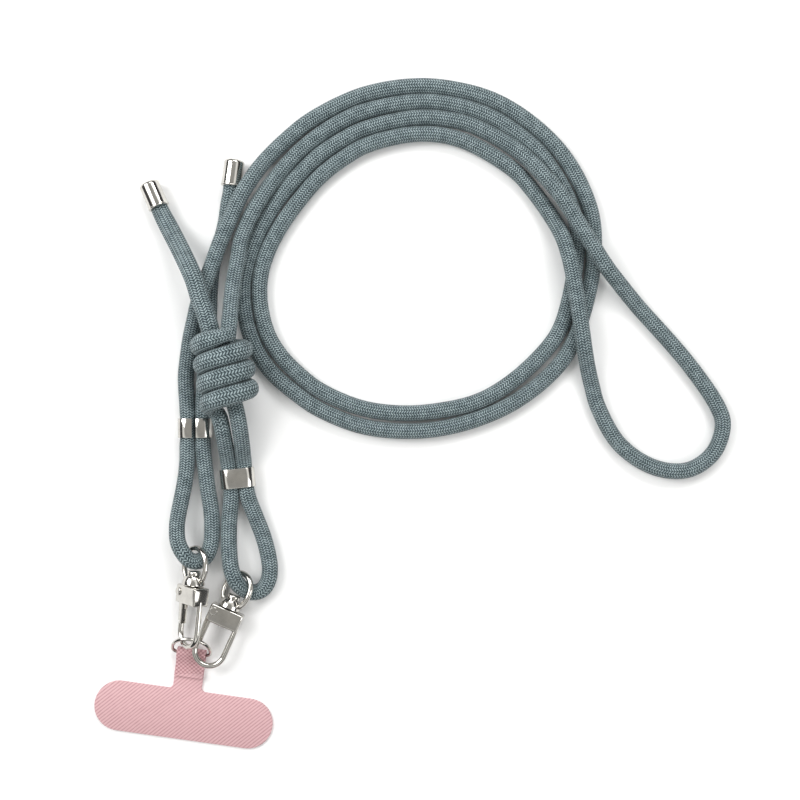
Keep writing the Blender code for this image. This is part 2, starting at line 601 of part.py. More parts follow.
def build_tab(material):
    """A flat plate with round ends that goes inside a phone case, and a neck folded over the ring."""
    end_r = TAB_H / 2
    side = (TAB_W - TAB_H) / 2
    neck = NECK_W / 2
    top = bar_y()
    fillet = arc((neck + NECK_FILLET, end_r + NECK_FILLET), NECK_FILLET, 270, 180, 4)
    right = arc((side, 0), end_r, -90, 90, 16) + fillet + [(neck, top)]
    left_neck = [(-x, y) for x, y in reversed(fillet + [(neck, top)])]
    left_end = arc((-side, 0), end_r, 90, 270, 16)
    frame = Matrix.Rotation(-TAB_LEAN, 4, "Z")
    tab = mesh_object("phone_tab", plate(right + left_neck + left_end, TAB_T), material, frame)
    eye = eye_radius()
    back = top - FOLD_BACK
    fold = [(back, 0), (top, 0)] + arc((top, eye), eye, -75, 105, 12)
    fold += [(top - eye * 1.6, TAB_T * 2.4), (top - eye * 2.4, TAB_T * 2), (back, TAB_T * 2)]
    on_side = Matrix(((0, 0, 1, 0), (1, 0, 0, 0), (0, 1, 0, 0), (0, 0, 0, 1)))
    roll = mesh_object("phone_tab_fold", plate(fold, NECK_W, -neck), matrix=on_side)
    combine(tab, roll, "UNION")
    hole_r = RING_WIRE / 2 + EYE_FIT
    hole_profile = [(0, -NECK_W), (hole_r, -NECK_W), (hole_r, NECK_W), (0, NECK_W)]
    hole_frame = Matrix.Translation((0, top, eye)) @ Matrix.Rotation(math.pi / 2, 4, "Z")
    hole = mesh_object("phone_tab_eye", turned(hole_profile, 12), matrix=hole_frame)
    combine(tab, hole, "DIFFERENCE")


clear_scene()
rope_braid = principled("rope_braid", (0.115, 0.19, 0.205), 0.8, 0.0)
polished_metal = principled("polished_metal", (0.72, 0.71, 0.69), 0.16, 1.0)
tab_fabric = principled("tab_fabric", (0.80, 0.50, 0.53), 0.7, 0.0)
build_rope(rope_braid)
build_cap("end_cap_a", CAP_A, polished_metal)
build_cap("end_cap_b", CAP_B, polished_metal)
build_clip("rope_clip_1", CLIP_1, polished_metal)
build_clip("rope_clip_2", CLIP_2, polished_metal)
for hook_number, hook_place in ((1, HOOK_1), (2, HOOK_2)):
    build_hook(hook_number, hook_place, polished_metal)
    build_bail(hook_number, hook_place, polished_metal)
build_ring(polished_metal)
build_tab(tab_fabric)
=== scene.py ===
# Looks of the phone crossbody strap: a grey-teal braided rope with polished metal pieces and a
# pink tab, lying on a white table and seen from straight above. Metres, +Z up.

import math

import bmesh
import bpy
from mathutils import Matrix, Vector


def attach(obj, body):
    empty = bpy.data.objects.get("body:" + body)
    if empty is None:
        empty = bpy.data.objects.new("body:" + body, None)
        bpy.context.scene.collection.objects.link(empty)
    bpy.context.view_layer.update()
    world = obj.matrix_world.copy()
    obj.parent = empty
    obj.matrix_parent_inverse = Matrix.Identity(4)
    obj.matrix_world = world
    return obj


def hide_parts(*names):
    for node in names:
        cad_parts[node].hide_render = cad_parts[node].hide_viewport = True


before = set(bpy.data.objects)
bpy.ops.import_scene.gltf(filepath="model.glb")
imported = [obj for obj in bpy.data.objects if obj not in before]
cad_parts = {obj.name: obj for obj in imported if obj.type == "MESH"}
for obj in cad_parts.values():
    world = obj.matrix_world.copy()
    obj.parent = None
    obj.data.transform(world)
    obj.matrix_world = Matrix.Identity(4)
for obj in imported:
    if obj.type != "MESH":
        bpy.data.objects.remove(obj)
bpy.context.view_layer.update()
MM = 0.001

# Camera, table and light: a white table under soft lamps, seen from straight above. The polished
# metal mirrors the room, so the room has a bright ring, a dimmer ceiling and a dark horizon.
VIEW_HEIGHT = 400 * MM
VIEW_MIDDLE = (72.4 * MM, 105.2 * MM)
camera = bpy.data.cameras.new("camera")
camera.lens = 53.73
camera.clip_start = 0.01
viewer = bpy.data.objects.new("camera", camera)
viewer.location = (*VIEW_MIDDLE, VIEW_HEIGHT)
bpy.context.scene.collection.objects.link(viewer)
bpy.context.scene.camera = viewer
bpy.context.scene.view_settings.view_transform = "Standard"


def add_lamp(name, place, aim, size, power):
    lamp = bpy.data.lights.new(name, "AREA")
    lamp.shape = "RECTANGLE"
    lamp.size, lamp.size_y = size
    lamp.energy = power
    holder = bpy.data.objects.new(name, lamp)
    holder.location = place
    holder.rotation_euler = (Vector(aim) - Vector(place)).to_track_quat("-Z", "Y").to_euler()
    bpy.context.scene.collection.objects.link(holder)


add_lamp("left_lamp", (-0.45, 0.35, 0.55), (0.07, 0.1, 0), (0.35, 0.5), 3.6)
add_lamp("top_lamp", (0.25, 0.75, 0.6), (0.07, 0.1, 0), (0.6, 0.25), 3.2)
add_lamp("right_lamp", (0.65, -0.1, 0.5), (0.07, 0.1, 0), (0.25, 0.4), 1.3)

room = bpy.data.worlds.new("room")
room.use_nodes = True
bpy.context.scene.world = room
room_nodes, room_links = room.node_tree.nodes, room.node_tree.links
where = room_nodes.new("ShaderNodeTexCoord")
height = room_nodes.new("ShaderNodeSeparateXYZ")
bands = room_nodes.new("ShaderNodeValToRGB")
room_links.new(where.outputs["Generated"], height.inputs[0])
room_links.new(height.outputs["Z"], bands.inputs["Fac"])
room_links.new(bands.outputs["Color"], room_nodes["Background"].inputs["Color"])
room_nodes["Background"].inputs["Strength"].default_value = 0.72
bands.color_ramp.elements[0].position = 0.0
bands.color_ramp.elements[0].color = (0.16, 0.16, 0.17, 1)
bands.color_ramp.elements[1].position = 1.0
bands.color_ramp.elements[1].color = (0.62, 0.61, 0.58, 1)
for position, shade in ((0.5, 0.06), (0.58, 0.35), (0.66, 1.6), (0.8, 1.5), (0.9, 0.55)):
    bands.color_ramp.elements.new(position).color = (shade, shade, shade * 0.98, 1)

table_shape = bmesh.new()
bmesh.ops.create_grid(table_shape, x_segments=1, y_segments=1, size=2.0)
table_mesh = bpy.data.meshes.new("table")
table_shape.to_mesh(table_mesh)
table_shape.free()
table = bpy.data.objects.new("table", table_mesh)
bpy.context.scene.collection.objects.link(table)
table_paint = bpy.data.materials.new("table_paint")
table_paint.use_nodes = True
table_shader = table_paint.node_tree.nodes["Principled BSDF"]
table_shader.inputs["Base Color"].default_value = (0.97, 0.97, 0.97, 1)
table_shader.inputs["Roughness"].default_value = 0.9
table_shader.inputs["Specular IOR Level"].default_value = 0.0
table_mesh.materials.append(table_paint)

# Rope: one round cord braided from grey-teal yarn, with lengthwise ribs of slanting stitches.
# It runs from end cap B through the first clip and bail, three times round the coil, through
# the knot, the second clip and bail, and back to the knot, where its end becomes the wraps.
CURVE_PARTS = 8
ROPE_D = 4.8 * MM
ROPE_STEP = 1.1 * MM
ROPE_SPOKES = 20
LOWEST_MIDDLE = 2.43 * MM

# The rope's route, chosen from the picture: x, y and height of its middle, in mm.
# From end cap B down under the coil and past the knot, through the first clip and the first
# hook's bail, and back up through the clip.
LOOP_1_ROUTE = [
    (16.4, 175.9, 3.8), (16.1, 173.5, 3.7), (15.3, 170.1, 3.1), (14.4, 164.4, 2.5),
    (13.1, 159.1, 2.5), (11.4, 154.5, 2.5), (9.9, 149.1, 2.5), (9.1, 141.0, 2.5),
    (8.8, 131.8, 2.5), (7.9, 121.8, 2.5), (7.2, 108.0, 3.1), (7.0, 102.0, 3.35),
    (7.0, 95.9, 3.35), (7.0, 89.8, 3.4), (7.8, 82.0, 3.5), (8.7, 75.3, 3.8),
    (9.8, 68.8, 4.2), (10.2, 62.2, 4.7), (9.8, 57.0, 5.2), (8.2, 53.4, 5.7),
    (5.6, 52.0, 6.5), (3.3, 52.6, 7.6), (1.4, 54.8, 8.4), (-0.5, 58.2, 7.6),
    (-1.2, 62.3, 6.2), (-1.1, 66.1, 5.1), (-0.1, 72.0, 4.2), (1.1, 78.6, 3.8),
    (1.7, 84.3, 3.5), (1.8, 89.8, 3.4), (1.8, 95.9, 3.35), (1.8, 102.0, 3.35),
    (1.4, 107.5, 3.1), (1.1, 112.8, 2.6), (1.6, 118.5, 2.5),
]
# Over the first strand, three times round the coil with the long loop on the right, and up
# to the knot.
COIL_ROUTE = [
    (1.6, 118.5, 2.5), (2.6, 125.1, 3.1), (4.4, 131.7, 5.2), (6.0, 137.1, 7.1),
    (8.0, 142.3, 7.9), (10.3, 148.5, 7.9), (13.6, 157.7, 7.8), (16.5, 164.3, 7.8),
    (19.3, 170.9, 7.7), (23.1, 177.6, 6.8), (27.8, 184.6, 4.2), (35.9, 193.0, 2.5),
    (43.6, 198.9, 2.5), (60.3, 206.8, 2.5), (78.7, 209.7, 2.5), (92.7, 208.2, 2.5),
    (103.1, 205.1, 2.5), (111.8, 200.3, 2.5), (119.5, 194.3, 2.5), (125.6, 188.0, 2.5),
    (130.5, 180.8, 2.5), (133.9, 173.8, 2.5), (135.9, 167.9, 2.5), (136.9, 161.8, 2.5),
    (137.0, 155.1, 2.5), (136.6, 148.5, 2.5), (133.8, 135.7, 2.5), (129.5, 123.2, 2.5),
    (123.1, 114.5, 2.5), (110.9, 104.8, 2.5), (99.0, 99.2, 2.5), (85.7, 95.7, 2.5),
    (72.4, 94.9, 2.5), (59.0, 96.7, 2.5), (45.6, 102.1, 2.5), (38.8, 106.6, 2.5),
    (28.5, 115.8, 2.5), (22.3, 127.5, 2.5), (20.2, 140.5, 2.5), (20.9, 147.5, 2.5),
    (24.4, 158.8, 2.5), (31.5, 171.5, 2.5), (38.9, 180.2, 2.5), (45.0, 186.2, 2.5),
    (52.6, 191.4, 2.5), (60.3, 195.3, 2.5), (78.6, 199.2, 2.5), (92.7, 197.8, 2.5),
    (100.3, 194.9, 2.5), (108.0, 190.4, 2.9), (114.2, 185.5, 4.6), (119.7, 179.3, 6.4),
    (124.8, 173.1, 7.6), (132.3, 161.5, 7.8), (139.9, 149.6, 7.3), (145.3, 143.3, 4.8),
    (152.1, 135.7, 2.5), (168.7, 116.8, 2.5), (178.4, 102.4, 2.5), (179.9, 96.9, 2.5),
    (176.8, 87.8, 2.5), (168.6, 82.0, 2.5), (157.5, 82.6, 2.5), (145.6, 90.3, 2.5),
    (138.3, 102.9, 2.5), (136.3, 109.6, 2.7), (134.5, 116.4, 4.4), (133.2, 121.9, 6.8),
    (131.9, 130.0, 7.8), (129.4, 145.8, 7.8), (128.1, 152.1, 7.5), (126.3, 158.6, 5.8),
    (123.7, 164.5, 3.4), (116.3, 175.3, 2.5), (110.1, 181.9, 2.5), (92.7, 191.8, 2.5),
    (78.6, 193.8, 2.5), (61.5, 190.1, 2.5), (54.1, 186.0, 2.5), (46.7, 180.4, 2.5),
    (40.6, 173.9, 2.5), (31.4, 160.9, 2.5), (26.5, 149.1, 2.5), (25.7, 138.5, 2.5),
    (28.3, 127.2, 2.5), (32.7, 119.9, 2.5), (39.2, 113.3, 2.5), (45.9, 108.3, 2.5),
    (59.0, 102.7, 2.5), (72.4, 100.8, 2.5), (85.7, 101.7, 2.5), (99.0, 105.0, 2.5),
    (110.6, 112.0, 2.5), (121.9, 123.0, 2.5), (125.7, 128.9, 2.5), (128.4, 137.1, 2.5),
    (131.1, 151.8, 2.5), (131.6, 161.1, 2.5), (128.8, 171.3, 2.5), (122.8, 182.2, 2.5),
    (117.9, 188.5, 2.5), (110.4, 194.7, 2.5), (102.9, 199.3, 2.5), (92.7, 202.9, 2.5),
    (78.6, 204.5, 2.5), (60.3, 201.2, 2.5), (52.5, 197.7, 2.5), (44.8, 192.8, 2.5),
    (37.7, 186.8, 2.5), (33.2, 181.6, 3.2), (28.8, 175.5, 4.7), (25.3, 169.8, 5.8),
    (22.5, 164.6, 6.1), (20.0, 157.9, 6.4), (19.0, 151.2, 7.2), (17.9, 144.6, 8.2),
    (17.3, 137.9, 9.8), (17.1, 132.5, 11.6),
]
# Down through the knot, the second clip and the second hook's bail, and up to the knot again.
LOOP_2_ROUTE = [
    (17.1, 132.5, 11.6), (16.7, 127.0, 12.7), (15.9, 120.0, 12.8), (16.9, 112.3, 12.8),
    (18.2, 105.8, 12.8), (19.4, 101.0, 12.4), (20.1, 96.1, 10.8), (20.4, 90.1, 7.0),
    (20.4, 85.8, 3.9), (20.7, 83.0, 3.5), (21.1, 79.6, 3.5), (21.8, 73.5, 3.4),
    (24.2, 66.8, 2.8),
    (26.8, 60.0, 2.5), (28.5, 53.7, 2.5), (29.1, 48.9, 2.5), (28.4, 44.7, 2.5),
    (26.4, 42.0, 2.5), (23.4, 41.2, 2.6), (20.8, 42.2, 3.4), (18.5, 44.8, 5.5),
    (16.8, 49.1, 6.1), (16.0, 54.3, 5.3), (15.7, 63.4, 4.2), (16.4, 74.0, 3.6),
    (15.9, 79.1, 3.5), (15.5, 83.0, 3.5), (15.2, 85.8, 3.9), (14.9, 90.1, 6.8),
    (14.4, 95.0, 9.4), (14.0, 97.5, 10.0),
]
# The lead from there into the lowest wrap of the knot.
KNOT_LEAD_ROUTE = [(14.0, 97.5, 10.0), (12.9, 100.4, 9.6), (11.3, 102.2, 9.8)]
# From the top of the knot to end cap A.
TAIL_A_ROUTE = [
    (11.0, 127.4, 13.0), (10.3, 130.2, 13.4), (9.2, 133.9, 13.6), (7.6, 138.2, 13.6),
    (6.0, 143.4, 13.2), (4.2, 147.4, 12.0), (0.2, 154.9, 8.4), (-3.7, 161.7, 5.0),
    (-6.6, 167.0, 3.7), (-7.5, 169.0, 3.8),
]


def smooth_curve(points, parts=CURVE_PARTS, closed=False):
    """A smooth curve through the points, with the same bend on both sides of each."""
    points = [Vector(p) for p in points]
    if closed:
        ring = [points[-1]] + points + points[:2]
    else:
        ring = [2 * points[0] - points[1]] + points + [2 * points[-1] - points[-2]]
    curve = []
    for a, b, c, d in zip(ring, ring[1:], ring[2:], ring[3:]):
        t1 = math.sqrt((b - a).length)
        t2 = t1 + math.sqrt((c - b).length)
        t3 = t2 + math.sqrt((d - c).length)
        for part in range(parts):
            t = t1 + (t2 - t1) * part / parts
            ab = a.lerp(b, t / t1)
            bc = b.lerp(c, (t - t1) / (t2 - t1))
            cd = c.lerp(d, (t - t2) / (t3 - t2))
            abc = ab.lerp(bc, t / t2)
            bcd = bc.lerp(cd, (t - t1) / (t3 - t1))
            curve.append(abc.lerp(bcd, (t - t1) / (t2 - t1)))
    return curve if closed else curve + [points[-1]]


def route_curve(route):
    curve = smooth_curve([Vector(p) * MM for p in route])
    return [Vector((p.x, p.y, max(p.z, LOWEST_MIDDLE))) for p in curve]


def evenly(points, step):
    """The same line with its points a fixed step apart."""
    runs = [0.0]
    for a, b in zip(points, points[1:]):
        runs.append(runs[-1] + (b - a).length)
    count = max(2, round(runs[-1] / step))
    line, place = [], 0
    for number in range(count + 1):
        run = runs[-1] * number / count
        while place < len(points) - 2 and runs[place + 1] < run:
            place += 1
        share = (run - runs[place]) / max(runs[place + 1] - runs[place], 1e-9)
        line.append(points[place].lerp(points[place + 1], share))
    return line


def sweep(path, wide, deep, spokes, upright, grow=None, closed=False):
    """A tube grown ring by ring along a path. wide and deep are its two widths, upright(i) is
    the way its depth points at ring i, and grow(i) scales ring i. Its UV map runs along the
    path in metres and once round it."""
    shape = bmesh.new()
    spoke_of = shape.verts.layers.int.new("spoke")
    ring_of = shape.verts.layers.int.new("ring")
    ring = bmesh.ops.create_circle(shape, cap_ends=False, radius=1.0, segments=spokes)["verts"]
    for number, spot in enumerate(ring):
        spot[spoke_of] = number
    first = edges = list(shape.edges)
    count = len(path)
    runs = [0.0]
    for a, b in zip(path, path[1:]):
        runs.append(runs[-1] + (b - a).length)

    def settle(spots, i):
        before, after = path[max(i - 1, 0)], path[min(i + 1, count - 1)]
        if closed:
            before, after = path[i - 1], path[(i + 1) % count]
        along = (after - before).normalized()
        side = along.cross(upright(i)).normalized()
        up = side.cross(along)
        scale = grow(i) if grow else 1.0
        for spot in spots:
            angle = 2 * math.pi * spot[spoke_of] / spokes
            spot.co = path[i] + scale * (
                side * (math.cos(angle) * wide / 2) + up * (math.sin(angle) * deep / 2)
            )
            spot[ring_of] = i

    settle(ring, 0)
    for i in range(1, count):
        grown = bmesh.ops.extrude_edge_only(shape, edges=edges)["geom"]
        spots = {part for part in grown if isinstance(part, bmesh.types.BMVert)}
        settle(spots, i)
        edges = [
            part for part in grown
            if isinstance(part, bmesh.types.BMEdge) and spots.issuperset(part.verts)
        ]
    if closed:
        bmesh.ops.bridge_loops(shape, edges=first + edges)
    else:
        bmesh.ops.holes_fill(shape, edges=first + edges, sides=0)
    map_of = shape.loops.layers.uv.new("UVMap")
    for face in shape.faces:
        numbers = [spot[spoke_of] for spot in face.verts]
        wraps = max(numbers) - min(numbers) > spokes / 2
        for corner in face.loops:
            number = corner.vert[spoke_of]
            if wraps and number < spokes / 2:
                number += spokes
            corner[map_of].uv = (runs[corner.vert[ring_of]], number / spokes)
    bmesh.ops.recalc_face_normals(shape, faces=shape.faces)
    return shape


def add_piece(name, shape, material, sharp=40):
    mesh = bpy.data.meshes.new(name)
    shape.to_mesh(mesh)
    shape.free()
    mesh.shade_smooth()
    mesh.set_sharp_from_angle(angle=math.radians(sharp))
    mesh.materials.append(material)
    piece = bpy.data.objects.new(name, mesh)
    bpy.context.scene.collection.objects.link(piece)
    return piece


def maths(tree, operation, *values):
    """One Math node, fed by numbers or by other nodes' outputs."""
    node = tree.nodes.new("ShaderNodeMath")
    node.operation = operation
    for slot, value in zip(node.inputs, values):
        if isinstance(value, (int, float)):
            slot.default_value = value
        else:
            tree.links.new(value, slot)
    return node.outputs[0]


def colours(tree, factor, stops):
    """A colour ramp from (position, colour) pairs."""
    ramp = tree.nodes.new("ShaderNodeValToRGB")
    for element, (position, colour) in zip(ramp.color_ramp.elements, (stops[0], stops[-1])):
        element.position = position
        element.color = (*colour, 1)
    for position, colour in stops[1:-1]:
        ramp.color_ramp.elements.new(position).color = (*colour, 1)
    tree.links.new(factor, ramp.inputs["Fac"])
    return ramp.outputs["Color"]


def braid(name, ribs, stitch, slant):
    """Braided yarn: ribs round the cord, each a row of slanting stitches, every second rib
    slanting the other way. Its colour carries painted shade, near black in the grooves, and a
    painted highlight on the stitch crowns."""
    material = bpy.data.materials.new(name)
    material.use_nodes = True
    tree = material.node_tree
    shader = tree.nodes["Principled BSDF"]
    surface = tree.nodes.new("ShaderNodeUVMap")
    surface.uv_map = "UVMap"
    split = tree.nodes.new("ShaderNodeSeparateXYZ")
    tree.links.new(surface.outputs["UV"], split.inputs[0])
    rib = maths(tree, "MULTIPLY", split.outputs["Y"], ribs)
    in_rib = maths(tree, "FRACT", rib)
    odd = maths(tree, "FLOORED_MODULO", maths(tree, "FLOOR", rib), 2.0)
    side = maths(tree, "MULTIPLY_ADD", odd, 2.0, -1.0)
    middle = maths(tree, "SUBTRACT", in_rib, 0.5)
    lean = maths(tree, "MULTIPLY", middle, maths(tree, "MULTIPLY", side, slant))
    phase = maths(tree, "ADD", maths(tree, "DIVIDE", split.outputs["X"], stitch), lean)
    bump_along = maths(tree, "ABSOLUTE", maths(tree, "SINE", maths(tree, "MULTIPLY", phase, math.pi)))
    off = maths(tree, "ABSOLUTE", maths(tree, "MULTIPLY_ADD", in_rib, 2.0, -1.0))
    bump_across = maths(tree, "MULTIPLY_ADD", maths(tree, "POWER", off, 4.0), -0.55, 1.0)
    yarn = maths(tree, "MULTIPLY", maths(tree, "POWER", bump_along, 0.7), bump_across)
    place = tree.nodes.new("ShaderNodeTexCoord")
    mottle = tree.nodes.new("ShaderNodeTexNoise")
    mottle.inputs["Scale"].default_value = 420.0
    mottle.inputs["Detail"].default_value = 3.0
    tree.links.new(place.outputs["Object"], mottle.inputs["Vector"])
    # Painted shade and highlight: the stitch height darkens the yarn to near black in the grooves between
    # stitches and ribs and brightens it on the crowns; the mottle is random tone.
    painted_stitch_shading = maths(tree, "MULTIPLY_ADD", yarn, 1.0, -0.3)
    shade = maths(tree, "MULTIPLY_ADD", mottle.outputs["Fac"], 0.5, painted_stitch_shading)
    colour = colours(tree, shade, (
        (0.0, (0.003, 0.007, 0.01)), (0.35, (0.024, 0.045, 0.053)),
        (0.65, (0.115, 0.165, 0.178)), (0.95, (0.37, 0.45, 0.47)),
    ))
    tree.links.new(colour, shader.inputs["Base Color"])
    shader.inputs["Roughness"].default_value = 0.72
    shader.inputs["Sheen Weight"].default_value = 0.12
    shader.inputs["Sheen Roughness"].default_value = 0.4
    relief = tree.nodes.new("ShaderNodeBump")
    relief.inputs["Strength"].default_value = 0.9
    relief.inputs["Distance"].default_value = 0.28 * MM
    tree.links.new(yarn, relief.inputs["Height"])
    tree.links.new(relief.outputs["Normal"], shader.inputs["Normal"])
    return material


rope_braid = braid("rope_braid", 16.0, 0.85 * MM, 0.85)
UP = Vector((0, 0, 1))
PINCHES = [
    Vector(p) * MM
    for p in ((7.0, 95.9, 3.35), (1.8, 95.9, 3.35), (21.1, 79.6, 3.5), (15.9, 79.1, 3.5))
]
PINCH_REACH = 4.2 * MM
PINCH_MOST = 0.09


def pinched(path):
    """Scales a ring down where a clip squeezes the cord."""
    def scale(i):
        near = min((path[i] - spot).length for spot in PINCHES)
        return 1.0 - PINCH_MOST * math.exp(-((near / PINCH_REACH) ** 4))
    return scale


whole = route_curve(LOOP_1_ROUTE + COIL_ROUTE[1:] + LOOP_2_ROUTE[1:] + KNOT_LEAD_ROUTE[1:])
cut_1 = (len(LOOP_1_ROUTE) - 1) * CURVE_PARTS
cut_2 = cut_1 + (len(COIL_ROUTE) - 1) * CURVE_PARTS
cut_3 = cut_2 + (len(LOOP_2_ROUTE) - 1) * CURVE_PARTS
CAP_A = (Vector((-7.5, 169.0, 3.8)) * MM, Vector((-10.5, 175.9, 3.8)) * MM)
CAP_B = (Vector((16.4, 175.9, 3.8)) * MM, Vector((17.6, 184.9, 3.8)) * MM)
ROPE_IN_CAP = 6.5 * MM


def add_rope(name, path, wide, deep, grow=pinched):
    path = evenly(path, ROPE_STEP)
    scale = grow(path)
    rope = add_piece(name, sweep(path, wide, deep, ROPE_SPOKES, lambda i: UP, scale), rope_braid, 80)
    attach(rope, "strap")
    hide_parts(name)


loop_1 = [CAP_B[0] + (CAP_B[1] - CAP_B[0]).normalized() * ROPE_IN_CAP] + whole[: cut_1 + 1]
tail_a = route_curve(TAIL_A_ROUTE)
tail_a.append(CAP_A[0] + (CAP_A[1] - CAP_A[0]).normalized() * ROPE_IN_CAP)
add_rope("rope_loop_1", loop_1, 5.3 * MM, 5.0 * MM)
add_rope(
    "rope_coil", whole[cut_1 - 1 : cut_2 + 2], 5.3 * MM, 4.9 * MM
)
add_rope("rope_loop_2", whole[cut_2 : cut_3 + 1], 5.4 * MM, 5.0 * MM)


TAIL_TAPER = 0.16
TAIL_TAPER_RINGS = 12


def tail_width(path):
    """The tail is flattened from the knot on, and shrinks evenly over its last rings into its cap."""
    start = len(path) - 1 - TAIL_TAPER_RINGS
    return lambda i: 1.0 if i < start else 1.0 - TAIL_TAPER * (i - start) / TAIL_TAPER_RINGS


add_rope("rope_tail_a", tail_a, 6.2 * MM, 4.6 * MM, grow=tail_width)

# Sliding knot: the rope's end wound round the standing strand in close turns and tucked in at
# the top, so it can be pulled along to set the strap's length. The turns are pressed flat.
KNOT_AT = Vector((17.2, 104.7, 12.8)) * MM
KNOT_LEAN = math.radians(8.8)
KNOT_W = 20.0 * MM
KNOT_PITCH = 6.4 * MM
KNOT_ROOM = 0.6 * MM
KNOT_FIRST_TURN = -20.0
KNOT_LAST_TURN = 1215.0
KNOT_TURN_STEP = 7.5
KNOT_STEP = 0.9 * MM
KNOT_BLEND = 10 * MM
KNOT_SWELL = 8 * MM
KNOT_TAPER = 9 * MM
WRAP_D = 5.4 * MM
WRAP_WIDE = 6.2 * MM
WRAP_DEEP = 5.4 * MM
knot_frame = Matrix.Translation(KNOT_AT) @ Matrix.Rotation(KNOT_LEAN, 4, "Z")
across = (KNOT_W - WRAP_D) / 2
deep = ROPE_D / 2 + KNOT_ROOM + WRAP_D / 2
wraps = []
for step in range(int((KNOT_LAST_TURN - KNOT_FIRST_TURN) / KNOT_TURN_STEP) + 1):
    degrees = KNOT_FIRST_TURN + step * KNOT_TURN_STEP
    angle = math.radians(degrees)
    spot = Vector((-across * math.cos(angle), KNOT_PITCH * degrees / 360, deep * math.sin(angle)))
    wraps.append(knot_frame @ spot)
knot_path = evenly(whole[cut_3 - 1 :] + wraps, KNOT_STEP)
knot_axis = knot_frame.to_3x3() @ Vector((0, 1, 0))


def knot_out(i):
    """Out of the knot's middle line, so that a wrap's flat side lies on the strand."""
    out = knot_path[i] - KNOT_AT
    out = out - knot_axis * out.dot(knot_axis)
    blend = min(1.0, i * KNOT_STEP / KNOT_BLEND)
    return UP.lerp(out.normalized(), blend)


def knot_width(i):
    """The cord swells from its lead into the wraps, and narrows where its end is tucked in."""
    left = (len(knot_path) - 1 - i) * KNOT_STEP
    start = 0.87 + 0.13 * min(1.0, i * KNOT_STEP / KNOT_SWELL)
    return start * min(1.0, 0.62 + 0.38 * left / KNOT_TAPER)


knot_shape = sweep(knot_path, WRAP_WIDE, WRAP_DEEP, ROPE_SPOKES, knot_out, knot_width)
knot = add_piece("sliding_knot", knot_shape, rope_braid, 80)
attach(knot, "strap")
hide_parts("sliding_knot")

# End caps: drawn metal cups with a rolled lip, crimped over the rope's two ends.
CAP_LEN = 9.0 * MM
CAP_R = 3.4 * MM
CAP_LIP_R = 3.6 * MM
CAP_BORE = 2.7 * MM
CAP_EDGE = 1.1 * MM


def nickel(name, tint, roughness):
    """Bright plate over cast or bent metal: fine rubbing marks and a little unevenness."""
    material = bpy.data.materials.new(name)
    material.use_nodes = True
    tree = material.node_tree
    shader = tree.nodes["Principled BSDF"]
    shader.inputs["Metallic"].default_value = 1.0
    place = tree.nodes.new("ShaderNodeTexCoord")
    cloud = tree.nodes.new("ShaderNodeTexNoise")
    cloud.inputs["Scale"].default_value = 260.0
    cloud.inputs["Detail"].default_value = 4.0
    tree.links.new(place.outputs["Object"], cloud.inputs["Vector"])
    rubbed = tree.nodes.new("ShaderNodeTexNoise")
    rubbed.inputs["Scale"].default_value = 1900.0
    rubbed.inputs["Detail"].default_value = 2.0
    tree.links.new(place.outputs["Object"], rubbed.inputs["Vector"])
    dull = tuple(part * 0.8 for part in tint)
    colour = colours(tree, cloud.outputs["Fac"], ((0.3, dull), (0.7, tint)))
    tree.links.new(colour, shader.inputs["Base Color"])
    rough = maths(tree, "MULTIPLY_ADD", rubbed.outputs["Fac"], 0.12, roughness - 0.06)
    tree.links.new(rough, shader.inputs["Roughness"])
    relief = tree.nodes.new("ShaderNodeBump")
    relief.inputs["Strength"].default_value = 0.25
    relief.inputs["Distance"].default_value = 0.05 * MM
    tree.links.new(cloud.outputs["Fac"], relief.inputs["Height"])
    tree.links.new(relief.outputs["Normal"], shader.inputs["Normal"])
    return material


polished_metal = nickel("polished_metal", (0.66, 0.64, 0.6), 0.12)


def turned(profile, steps=48):
    """A round solid about Y from (radius, height) pairs."""
    shape = bmesh.new()
    spots = [shape.verts.new((radius, height, 0.0)) for radius, height in profile]
    edges = [shape.edges.new(pair) for pair in zip(spots, spots[1:])]
    if profile[0][0] > 0:
        edges.append(shape.edges.new((spots[-1], spots[0])))
    bmesh.ops.spin(shape, geom=spots + edges, cent=(0, 0, 0), axis=(0, 1, 0), angle=2 * math.pi,
                   steps=steps, use_merge=True)
    bmesh.ops.remove_doubles(shape, verts=shape.verts, dist=1e-7)
    bmesh.ops.recalc_face_normals(shape, faces=shape.faces)
    return shape


def arc(centre, radius, start, end, steps):
    angles = [math.radians(start + (end - start) * step / steps) for step in range(steps + 1)]
    return [(centre[0] + radius * math.cos(a), centre[1] + radius * math.sin(a)) for a in angles]


def metal_piece(name, shape, matrix, body, *nodes, sharp=35):
    bmesh.ops.transform(shape, matrix=matrix, verts=shape.verts)
    piece = add_piece(name, shape, polished_metal, sharp)
    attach(piece, body)
    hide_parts(*nodes)
    return piece


cap_profile = [(0, CAP_LEN)] + arc((CAP_R - CAP_EDGE, CAP_LEN - CAP_EDGE), CAP_EDGE, 90, 0, 8)
cap_profile += [(CAP_R, 1.3 * MM)] + arc((CAP_LIP_R - 0.35 * MM, 0.45 * MM), 0.35 * MM, 60, -90, 8)
cap_profile += [(CAP_BORE, 0.1 * MM), (CAP_BORE, CAP_LEN - 0.8 * MM), (0, CAP_LEN - 0.8 * MM)]
for cap_name, (mouth, top) in (("end_cap_a", CAP_A), ("end_cap_b", CAP_B)):
    turn = Vector((0, 1, 0)).rotation_difference(top - mouth).to_matrix().to_4x4()
    metal_piece(cap_name, turned(cap_profile), Matrix.Translation(mouth) @ turn, "strap", cap_name)

# Rope clips: flat metal bands bent round two strands to hold them side by side, with a narrow
# seam. They slide along the strap. One lies seam up and the other seam down.
CLIP_LEN = 6.4 * MM
CLIP_WALL = 0.5 * MM
CLIP_INNER_W = 10.6 * MM
CLIP_INNER_H = 5.4 * MM
CLIP_SEAM = 1.3 * MM


